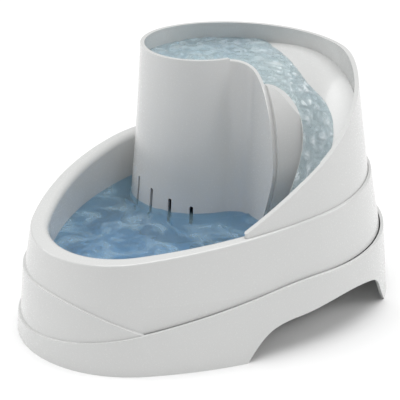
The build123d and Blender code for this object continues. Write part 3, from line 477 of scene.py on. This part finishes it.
def shade(color, factor):
    """A colour times a factor, up to white."""
    return tuple(min(1.0, channel * factor) for channel in color)


def moulding(name, color, roughness, grain, spread=0.05, coat=0.0, scale=900.0):
    """Moulded plastic: slow drift of colour, and a fine grain that also varies the gloss."""
    nodes = Nodes(name)
    drift = nodes.remap(nodes.noise(14.0, 2.0), 0, 1)
    fine = nodes.noise(scale, 4.0, 0.6)
    tone = nodes.blend(drift, shade(color, 1 - spread), shade(color, 1 + spread / 2))
    gloss = nodes.remap(fine, roughness - 0.05, roughness + 0.06)
    nodes.bump(fine, grain, 0.6)
    return nodes.finish(tone, gloss, {"Coat Weight": coat, "Coat Roughness": 0.06})


def rubber(name, color, roughness=0.6):
    """Soft rubber: dull, with bloom in patches and a pebbled skin."""
    nodes = Nodes(name)
    patches = nodes.noise(60.0, 4.0)
    tone = nodes.blend(nodes.remap(patches, 0, 1), color, shade(color, 1.35))
    gloss = nodes.remap(patches, roughness, roughness + 0.2)
    nodes.bump(nodes.noise(2600.0, 2.0), 0.05 * MM, 0.5)
    return nodes.finish(tone, gloss, {"Specular IOR Level": 0.35})


def laminated_steel():
    """Stacked steel sheets: fine lines that follow one another along Y, and rust specks."""
    nodes = Nodes("laminated_steel")
    lines = nodes.bands(320.0, 0.4, "Y", "SAW")
    specks = nodes.remap(nodes.noise(420.0, 5.0), 0, 1, 0.55, 0.7)
    tone = nodes.blend(specks, (0.33, 0.33, 0.34), (0.16, 0.1, 0.07))
    nodes.bump(lines, 0.12 * MM, 0.8)
    return nodes.finish(tone, nodes.remap(lines, 0.3, 0.55, 0, 1), {"Metallic": 0.9})


def copper_wire(color):
    """Enamelled wire wound side by side: round ridges that follow one another along X, with
    painted shade in the grooves between them.
    """
    nodes = Nodes("copper_wire")
    turns = nodes.bands(800.0, 0.6, "X", "SIN")
    # painted shade: each turn darkens to about a third of its colour in the grooves between turns
    tone = nodes.blend(nodes.remap(turns, 0, 1, 0.1, 0.9), shade(color, 0.35), color)
    gloss = nodes.remap(nodes.noise(300.0), 0.22, 0.4)
    nodes.bump(turns, 0.15 * MM)
    return nodes.finish(tone, gloss, {"Metallic": 0.85, "Coat Weight": 0.5})


def cast_resin():
    """Poured resin: dark and glassy, with a few pinholes."""
    nodes = Nodes("cast_resin")
    swirl = nodes.noise(55.0, 3.0, 0.6, 1.2)
    tone = nodes.blend(nodes.remap(swirl, 0, 1), (0.012, 0.012, 0.014), (0.03, 0.03, 0.033))
    holes = nodes.remap(nodes.cells(260.0)["Distance"], 0, 1, 0.02, 0.12)
    nodes.bump(holes, 0.2 * MM, 0.7)
    return nodes.finish(tone, nodes.remap(swirl, 0.14, 0.3))


def ferrite():
    """Sintered magnet: near black, with fine grains that are lighter and rougher."""
    nodes = Nodes("ferrite")
    grains = nodes.noise(1500.0, 6.0, 0.7)
    light = nodes.remap(grains, 0, 1, 0.4, 0.75)
    tone = nodes.blend(light, (0.025, 0.025, 0.027), (0.12, 0.12, 0.13))
    nodes.bump(grains, 0.04 * MM, 0.6)
    return nodes.finish(tone, nodes.remap(grains, 0.38, 0.62), {"Metallic": 0.4})


def milky_tube():
    """Milky plastic tube: cloudy, and it lets some light through."""
    nodes = Nodes("milky_tube")
    clouds = nodes.noise(45.0, 3.0)
    tone = nodes.blend(nodes.remap(clouds, 0, 1), (0.6, 0.66, 0.68), (0.72, 0.77, 0.78))
    gloss = nodes.remap(clouds, 0.2, 0.36)
    nodes.bump(nodes.noise(700.0), 0.03 * MM, 0.4)
    return nodes.finish(tone, gloss, {"Transmission Weight": 0.45, "IOR": 1.45})


def open_foam(color):
    """Open-cell foam: cells about 1 mm across, with painted shade inside them."""
    nodes = Nodes("open_foam")
    edges = nodes.cells(900.0, feature="DISTANCE_TO_EDGE")["Distance"]
    struts = nodes.remap(edges, 1, 0, 0.02, 0.22)
    # painted shade: the cells' hollows darken to a quarter of the colour, and the struts round
    # them are lighter
    tone = nodes.blend(struts, shade(color, 0.25), shade(color, 1.3))
    nodes.bump(struts, 0.5 * MM)
    return nodes.finish(tone, 0.9, {"Sheen Weight": 0.3})


def carbon_granules():
    """Packed carbon: angular grains about 1.5 mm across, some of them duller, with painted shade
    towards their borders.
    """
    nodes = Nodes("carbon_granules")
    grains = nodes.cells(620.0)
    # painted shade: each grain darkens from its middle towards its border with the next
    tone = nodes.blend(grains["Distance"], (0.03, 0.03, 0.032), (0.006, 0.006, 0.007))
    nodes.bump(grains["Distance"], 0.6 * MM)
    return nodes.finish(tone, nodes.remap(grains["Color"], 0.35, 0.8, 0, 1))


def dress(material, *names):
    """Give CAD nodes a material."""
    for name in names:
        mesh = NODES[name].data
        mesh.materials.clear()
        mesh.materials.append(material)


# ---------------------------------------------------------------- finishes of the solids
class FOUNTAIN_OT_shell(bpy.types.Operator):
    """Finish the white mouldings"""

    bl_idname = "fountain.shell"
    bl_label = "White Mouldings"

    def execute(self, context):
        finish = context.scene.fountain_shell
        color = tuple(finish.color)
        gloss = moulding("white_gloss", color, finish.roughness, finish.grain, 0.012, coat=0.35)
        dress(gloss, "basin", "tower")
        satin = moulding("white_satin", shade(color, 0.97), 0.38, 0.03 * MM, 0.03)
        dress(satin, "nozzle_cap", "filter_holder")
        return {"FINISHED"}


class FOUNTAIN_OT_pump(bpy.types.Operator):
    """Finish the pump's mouldings, seals, feet and turning pieces"""

    bl_idname = "fountain.pump"
    bl_label = "Pump"

    def execute(self, context):
        colors = context.scene.fountain_inside
        dark = moulding("pump_black", tuple(colors.pump), 0.42, 0.06 * MM, 0.15, scale=1800.0)
        dress(dark, "pump_body", "chamber_cover", "intake_cover")
        dress(moulding("dial_blue", tuple(colors.dial), 0.3, 0.03 * MM, 0.08), "flow_dial")
        dress(moulding("impeller_grey", (0.55, 0.57, 0.6), 0.35, 0.03 * MM, 0.04), "impeller")
        dress(rubber("black_rubber", (0.018, 0.018, 0.018)), "cord_gland", "chamber_seal")
        milky = rubber("milky_rubber", (0.62, 0.65, 0.66), 0.35)
        dress(milky, "riser_grommet", *(f"suction_cup_{n}" for n in (1, 2, 3, 4)))
        ceramic = moulding("ceramic", (0.8, 0.79, 0.74), 0.12, 0.004 * MM, 0.03, coat=0.5)
        dress(ceramic, "impeller_shaft", "front_bush", "rear_bush")
        return {"FINISHED"}


class FOUNTAIN_OT_stator(bpy.types.Operator):
    """Finish the core, the coil, the resin and the magnet"""

    bl_idname = "fountain.stator"
    bl_label = "Stator and Magnet"

    def execute(self, context):
        dress(laminated_steel(), "stator_core")
        dress(copper_wire(tuple(context.scene.fountain_inside.copper)), "coil_winding")
        dress(moulding("nylon", (0.72, 0.69, 0.58), 0.4, 0.03 * MM, 0.06), "coil_bobbin")
        dress(cast_resin(), "potting_resin")
        dress(ferrite(), "rotor_magnet")
        return {"FINISHED"}


class FOUNTAIN_OT_riser(bpy.types.Operator):
    """Finish the riser and the sleeve under it"""

    bl_idname = "fountain.riser"
    bl_label = "Riser"

    def execute(self, context):
        dress(milky_tube(), "riser_tube", "outlet_adapter")
        return {"FINISHED"}


class FOUNTAIN_OT_filter(bpy.types.Operator):
    """Finish the filter cassette's frame, foam and carbon"""

    bl_idname = "fountain.filter"
    bl_label = "Filter Cassette"

    def execute(self, context):
        frame_white = moulding("filter_white", (0.66, 0.7, 0.73), 0.45, 0.05 * MM, 0.05)
        dress(frame_white, "cassette_frame", "cassette_grille")
        dress(open_foam(tuple(context.scene.fountain_inside.foam)), "foam_pad")
        dress(carbon_granules(), "carbon_bed")
        return {"FINISHED"}


# ---------------------------------------------------------------- water
# white of the painted highlights and reflections on the water
HIGHLIGHT_COLOR = (0.9, 0.93, 0.95)
BASIN_PATCHES = 34.0          # patches of painted highlight to the metre
STREAM_PATCHES = 85.0
BASIN_HIGHLIGHT = 0.25            # share of the stream's painted highlight that the basin has
STREAM_HAZE = 1.4             # the stream's haze against the basin's


def smooth_step(value, low, high):
    """0 up to low and 1 from high; between them three times the square of the share of
    the way, less twice its cube."""
    share = np.clip((value - low) / (high - low), 0, 1)
    return share * share * (3 - 2 * share)


def water_material(name, settings, color, haze, grain):
    """Water that takes its tint with depth and scatters a share of the light, its haze.

    Where the mesh's painted highlight is high it has white patches of painted highlight, as many
    to the metre as grain says.
    """
    nodes = Nodes(name)
    # painted highlight: the mesh's mask times patches of noise
    froth = nodes.add("ShaderNodeAttribute", attribute_name="froth").outputs["Fac"]
    patches = nodes.remap(nodes.noise(grain, 4.0, 0.6, 1.6), 0, 1, 0.42, 0.62)
    product = nodes.add("ShaderNodeMath", {0: froth, 1: patches}, operation="MULTIPLY")
    white = product.outputs["Value"]
    cloud = nodes.remap(nodes.noise(18.0, 2.0), 0, 1)
    tone = nodes.blend(cloud, shade(color, 0.94), shade(color, 1.05))
    # where the painted highlight is, the water lets no light through
    clear = nodes.remap(white, 1.0 - haze, 0.0, 0, 1)
    nodes.bump(nodes.noise(160.0, 3.0, 0.5, 0.6), 0.12 * MM, 0.5)
    tint = nodes.add(
        "ShaderNodeVolumeAbsorption", {"Color": (*settings.tint, 1), "Density": settings.density},
    )
    nodes.fill(nodes.output, {"Volume": tint.outputs["Volume"]})
    # painted highlight: white mixed into the colour, with more roughness
    return nodes.finish(
        nodes.blend(white, tone, HIGHLIGHT_COLOR), nodes.remap(white, 0.02, 0.2, 0, 1),
        {"IOR": 1.33, "Transmission Weight": clear},
    )


def choppy(plan, shortest, longest, seed, count=24):
    """Irregular waves whose heights have a root mean square of 1: a sum of sines, each
    with a random direction, length and phase."""
    draw = np.random.default_rng(seed)
    lengths = draw.uniform(shortest, longest, count)
    ways = polar(2 * np.pi / lengths, draw.uniform(0, 2 * np.pi, count))
    phases = draw.uniform(0, 2 * np.pi, count)
    total = sum(np.sin((np.conj(way) * plan).real + start) for way, start in zip(ways, phases))
    return total / np.sqrt(count / 2)


def ripples(plan, height):
    """Ripple height over a plan in millimetres, and where the painted reflections lie.

    Three things add up: a sine of the distance from the chute's foot, with 28 mm from crest
    to crest, which dies away over 70 mm; a bell-shaped ring 2 mm wide round the column, with
    a trough 3.2 mm wide on its inside; and irregular waves 13 to 42 mm long. The painted
    reflections lie outside the column's ring.
    """
    away = np.abs(plan - CHUTE_POUR)
    rings = 0.8 * np.sin(away / 4.4 + 0.5 * np.sin(plan.real / 11)) * np.exp(-away / 70)
    off = np.abs(plan - COLUMN_RING) - COLUMN_RING_R
    ring = 1.5 * np.exp(-((off / 2.0) ** 2)) - 0.9 * np.exp(-(((off + 5) / 3.2) ** 2))
    waves = rings + ring + 0.42 * choppy(plan, 13, 42, 3)
    return height * waves, smooth_step(off, 0.0, 12.0)


def solid_points(plan, level):
    """Points in metres from a plan and heights in millimetres."""
    level = np.broadcast_to(level, plan.shape)
    return np.stack((plan.real, plan.imag, level), axis=-1) * MM


class FOUNTAIN_OT_basin_water(bpy.types.Operator):
    """Fill the basin"""

    bl_idname = "fountain.basin_water"
    bl_label = "Basin Water"

    def execute(self, context):
        water = context.scene.fountain_water
        a, b = np.meshgrid(*[np.linspace(-1, 1, BASIN_GRID)] * 2, indexing="ij")
        # a square carried to a disc, and the disc to the tank's outline at each height
        disc = a * np.sqrt(1 - b**2 / 2) + 1j * b * np.sqrt(1 - a**2 / 2)
        share, bearing = np.minimum(np.abs(disc), 1), np.angle(disc)
        turn = np.linspace(-np.pi, np.pi, TANK_DIRECTIONS)

        def layer(level):
            """Plan of the grid at a height, run a little into the tank's wall."""
            reach = wall_reach("basin", level, BASIN_CENTRE, turn) + TANK_OVERLAP
            return BASIN_CENTRE + polar(share * np.interp(bearing, turn, reach), bearing)

        level = water.basin_level / MM
        plan = layer(level)
        waves, crests = ripples(plan, water.ripple_height / MM)
        waves *= 1 - 0.7 * share**12          # they die down at the wall
        border = rim_indices(BASIN_GRID, BASIN_GRID)
        steps = [TANK_FLOOR + step for step in TANK_STEPS]
        rings = [solid_points(layer(step).ravel()[border], step) for step in steps]
        bottom = solid_points(layer(steps[-1]), TANK_FLOOR - TANK_SUNK)
        points, faces = stacked_body(solid_points(plan, level + waves), rings, bottom)
        # painted reflections: white patches on the top of the basin's water, away from the column
        froth = np.zeros(len(points))
        froth[:crests.size] = BASIN_HIGHLIGHT * water.froth * crests.ravel()
        color = tuple(water.haze_color)
        material = water_material("basin_water", water, color, water.haze, BASIN_PATCHES)
        add_mesh("basin_water", points, faces, "basin", material, froth=froth)
        return {"FINISHED"}


def trough(angles):
    """The chute's floor by direction from its pivot: share of the fall, height, dish,
    middle radius and half width. It falls with the square of the turn."""
    turn = 180 - np.degrees(angles)
    share = (turn - CHUTE_START) / (CHUTE_END - CHUTE_START)
    ahead = np.clip(share, 0, None)
    bounded = np.minimum(ahead, 1)
    height = CHUTE_TOP - (CHUTE_TOP - CHUTE_FOOT) * ahead**2
    dish = CHUTE_DISH * np.sin(np.pi * bounded)
    far = CHUTE_REACH[0] + CHUTE_REACH[1] * ahead + CHUTE_REACH[2] * ahead**2
    return share, height, dish, (CHUTE_NEAR + far) / 2, (far - CHUTE_NEAR) / 2


def stream_edges(angles, share):
    """Distances from the pivot between which the stream runs.

    The near one is the well's rim. The far one comes in from the wall with the square of
    the share still left to the bend, and past the bend with the square of the share since.
    """
    gap = (NEWEL - PIVOT) * polar(1, -angles)
    near = gap.real + np.sqrt(NEWEL_R**2 - gap.imag**2)
    past = share - STREAM_BEND
    far = STREAM_OUT + np.where(past < 0, STREAM_SWING, -STREAM_CLOSE) * past**2
    return near, np.maximum(far, near + STREAM_LEAST)


def stream_surface(radius, plan, share, thin):
    """Shape of the surface over its level, and where its crests get painted highlights.

    Over the nozzle a bell-shaped dome and rings, a sine of the distance that dies away over
    22 mm, lie on an irregular swell of waves 9 to 26 mm long. Down the stream the swell
    gives way to waves 5 to 15 mm long across it and drawn out along it, as high as a share
    of its depth, whose crests get painted highlights.
    """
    away = np.abs(plan - NOZZLE)
    dome = 2.2 * np.exp(-((away / 11) ** 2)) + 0.8 * np.sin(away / 2.3) * np.exp(-away / 22)
    swell = 0.3 * choppy(plan, 9, 26, 5)
    down = share[:, None]
    lively = choppy(radius + 1j * STREAM_STRETCH * down, 5, 15, 8)
    running = smooth_step(down, -0.05, 0.12)
    waves = dome + swell + running * (0.17 * thin * lively - swell)
    # painted highlights: white on the running stream's crests, and a steady 0.3 over the pool
    crests = running * (0.2 + 0.8 * smooth_step(lively, -0.4, 1.6)) + 0.3 * (1 - running)
    return waves, crests


class FOUNTAIN_OT_tower_water(bpy.types.Operator):
    """Fill the raised pool and run the stream down the chute"""

    bl_idname = "fountain.tower_water"
    bl_label = "Pool and Stream"

    def execute(self, context):
        water = context.scene.fountain_water
        pool_level, thin = water.pool_level / MM, water.stream_depth / MM
        # directions from the pool's far end to the stream's foot, the first ones closest
        bearings = np.angle(cavity_outline(pool_level, TOWER_WALL) - PIVOT) % (2 * np.pi)
        last = bearings[bearings < 1.5 * np.pi].max() - POOL_END
        first = np.radians(180 - STREAM_TURN)
        angles = last - (last - first) * np.linspace(0, 1, STREAM_COLUMNS) ** STREAM_CROWD

        # the pool's depth gives way to the stream's, which thins as it falls
        share, height, dish, middle, half = trough(angles)
        brim = np.exp(-((np.clip(share, 0, None) / BRIM) ** 2))
        film = thin * (1 - STREAM_THINS * np.clip(share, 0, 1))
        depth = film * (1 - brim) + (pool_level - CHUTE_TOP) * brim
        near_edge, far_edge = stream_edges(angles, share)
        open_near, open_far = (smooth_step(share, 0.0, freed) for freed in STREAM_FREED)

        # where the walls stand for each direction, at each of a few heights
        levels = np.linspace(LOWEST_SPAN, pool_level, SPANS)
        spans = np.array([cavity_span(level, TOWER_WALL, angles) for level in levels])

        def at_level(table, level):
            """A table of one row for each height, read between its rows in proportion."""
            place = (level - levels[0]) / (levels[1] - levels[0])
            place = np.clip(place, 0, len(levels) - 1.001)
            low, pick = place.astype(int), np.arange(STREAM_COLUMNS)
            return table[low, pick] + (place - low) * (table[low + 1, pick] - table[low, pick])

        def layer(level):
            """Radius and plan of the grid at a height, from wall to wall or edge to edge."""
            near = at_level(spans[:, 0], level) - TOWER_OVERLAP
            near += open_near * (np.maximum(near, near_edge) - near)
            far = at_level(spans[:, 1], level) + TOWER_OVERLAP
            far = np.where(share > 0, np.minimum(far, far_edge), far)
            across = np.linspace(0, 1, STREAM_ROWS)
            radius = near[:, None] + (far - near)[:, None] * across
            return radius, PIVOT + polar(radius, angles[:, None])

        def floor_at(radius, plan):
            """Height of the floor: a parabola across the chute, and a ramp in the pool."""
            offset = (radius - middle[:, None]) / half[:, None]
            run = height[:, None] + dish[:, None] * offset**2
            start = polar(1, radians(180 - CHUTE_START))
            beyond = (np.conj(start) * (plan - PIVOT)).imag
            ramp = CHUTE_TOP - (CHUTE_TOP - POOL_FLOOR) * np.clip(beyond / WEIR_RUN, 0, 1)
            return np.where(beyond > 0, ramp, run)

        # the surface, which tapers to just under the floor along the stream's free edges
        radius, plan = layer(np.where(share < 0, pool_level, height + depth))
        across = np.linspace(-1, 1, STREAM_ROWS)
        taper = np.where(across < 0, open_near[:, None], open_far[:, None]) * across**6
        rise = depth[:, None] * (1 - taper) - EDGE_SUNK * taper
        waves, crests = stream_surface(radius, plan, share, thin)
        waves *= 1 - 0.8 * taper
        run = np.where(share[:, None] < 0, CHUTE_TOP, floor_at(radius, plan))
        low_radius, low_plan = layer(np.where(share < 0, POOL_FLOOR, height))
        bottom = floor_at(low_radius, low_plan) - TOWER_SUNK
        points, faces = stacked_body(
            solid_points(plan, run + rise + waves), [], solid_points(low_plan, bottom)
        )
        color, haze = tuple(water.shallow_color), STREAM_HAZE * water.haze
        material = water_material("tower_water", water, color, haze, STREAM_PATCHES)
        # the painted highlights go on the top grid only
        froth = np.stack((crests, np.zeros_like(crests))) * water.froth
        add_mesh("tower_water", points, faces, "tower", material, froth=froth)
        return {"FINISHED"}


# ---------------------------------------------------------------- stage
SUN_STRENGTH = 2.0
LAMPS = {                     # place and width in metres, and power in watts
    "left": ((-1.9, -1.2, 1.3), 1.3, 12.0),
    "right": ((1.7, 1.7, 1.4), 1.3, 13.0),
}
LAMP_AIM = Vector((0, 0, 0.08))
CAMERA_AIM = Vector((1.596, 0.402, 89.342)) * MM
SENSOR_WIDTH = 36.0
CAMERA_RANGE = (0.05, 40.0)


def floor_white():
    """Matt white paper for the floor, with a slow drift of tone."""
    nodes = Nodes("floor_white")
    drift = nodes.remap(nodes.noise(2.0), 0, 1)
    tone = nodes.blend(drift, (0.93, 0.93, 0.93), (0.95, 0.95, 0.95))
    return nodes.finish(tone, 0.7, {"Specular IOR Level": 0.2})


def face_along(item, way):
    """Turn a lamp or a camera so that it looks along a vector."""
    item.rotation_euler = way.to_track_quat("-Z", "Y").to_euler()


class FOUNTAIN_OT_stage(bpy.types.Operator):
    """Set up the floor, the lamps and the camera"""

    bl_idname = "fountain.stage"
    bl_label = "Studio Stage"

    def execute(self, context):
        scene, stage = context.scene, context.scene.fountain_stage
        scene.view_settings.view_transform = "Standard"
        half = stage.floor_size / 2
        corners = [(-half, -half, 0), (half, -half, 0), (half, half, 0), (-half, half, 0)]
        mesh = bpy.data.meshes.new("floor")
        mesh.from_pydata(corners, [], [(0, 1, 2, 3)])
        mesh.materials.append(floor_white())
        floor = add_object("floor", mesh)

        world = bpy.data.worlds.new("studio")
        world.use_nodes = True
        sky = world.node_tree.nodes["Background"]
        sky.inputs["Color"].default_value = (1, 1, 1, 1)
        sky.inputs["Strength"].default_value = stage.ambient
        scene.world = world

        # a wide light straight down, and a lamp on each side
        sun = bpy.data.lights.new("sun", "SUN")
        sun.angle = stage.softness
        sun.energy = SUN_STRENGTH * stage.light
        add_object("sun", sun)
        for name, (place, width, power) in LAMPS.items():
            light = bpy.data.lights.new(name, "AREA")
            light.shape = "DISK"
            light.size = width
            light.energy = power * stage.light
            lamp = add_object(name, light)
            lamp.location = place
            face_along(lamp, LAMP_AIM - lamp.location)

        flat = np.cos(stage.elevation)
        back = Vector((
            np.sin(stage.azimuth) * flat, -np.cos(stage.azimuth) * flat, np.sin(stage.elevation)
        ))
        lens = bpy.data.cameras.new("camera")
        lens.lens = stage.lens
        lens.sensor_width = SENSOR_WIDTH
        lens.clip_start, lens.clip_end = CAMERA_RANGE
        camera = add_object("camera", lens)
        camera.location = CAMERA_AIM + stage.distance * back
        face_along(camera, -back)
        scene.camera = camera
        return {"FINISHED"}


# ---------------------------------------------------------------- panel and registration
OPERATORS = (
    FOUNTAIN_OT_stage, FOUNTAIN_OT_shell, FOUNTAIN_OT_pump, FOUNTAIN_OT_stator,
    FOUNTAIN_OT_riser, FOUNTAIN_OT_filter, FOUNTAIN_OT_basin_water, FOUNTAIN_OT_tower_water,
)
GROUPS = {
    "fountain_water": FountainWater, "fountain_shell": FountainShell,
    "fountain_inside": FountainInside, "fountain_stage": FountainStage,
}


class FOUNTAIN_PT_sidebar(bpy.types.Panel):
    """Sizes, colours and steps of the fountain"""

    bl_idname = "FOUNTAIN_PT_sidebar"
    bl_label = "Pet Water Fountain"
    bl_space_type = "VIEW_3D"
    bl_region_type = "UI"
    bl_category = "Fountain"

    def draw(self, context):
        layout = self.layout
        for name, group in GROUPS.items():
            box = layout.box()
            box.label(text=group.__doc__)
            for key in group.__annotations__:
                box.prop(getattr(context.scene, name), key)
        for operator in OPERATORS:
            layout.operator(operator.bl_idname)


def register():
    for item in (*GROUPS.values(), *OPERATORS, FOUNTAIN_PT_sidebar):
        bpy.utils.register_class(item)
    for name, group in GROUPS.items():
        setattr(bpy.types.Scene, name, PointerProperty(type=group))


def unregister():
    for name in GROUPS:
        delattr(bpy.types.Scene, name)
    for item in (FOUNTAIN_PT_sidebar, *OPERATORS[::-1], *GROUPS.values()):
        bpy.utils.unregister_class(item)


def main():
    register()
    for operator in OPERATORS:
        group, name = operator.bl_idname.split(".")
        getattr(getattr(bpy.ops, group), name)()


if __name__ == "__main__":
    main()
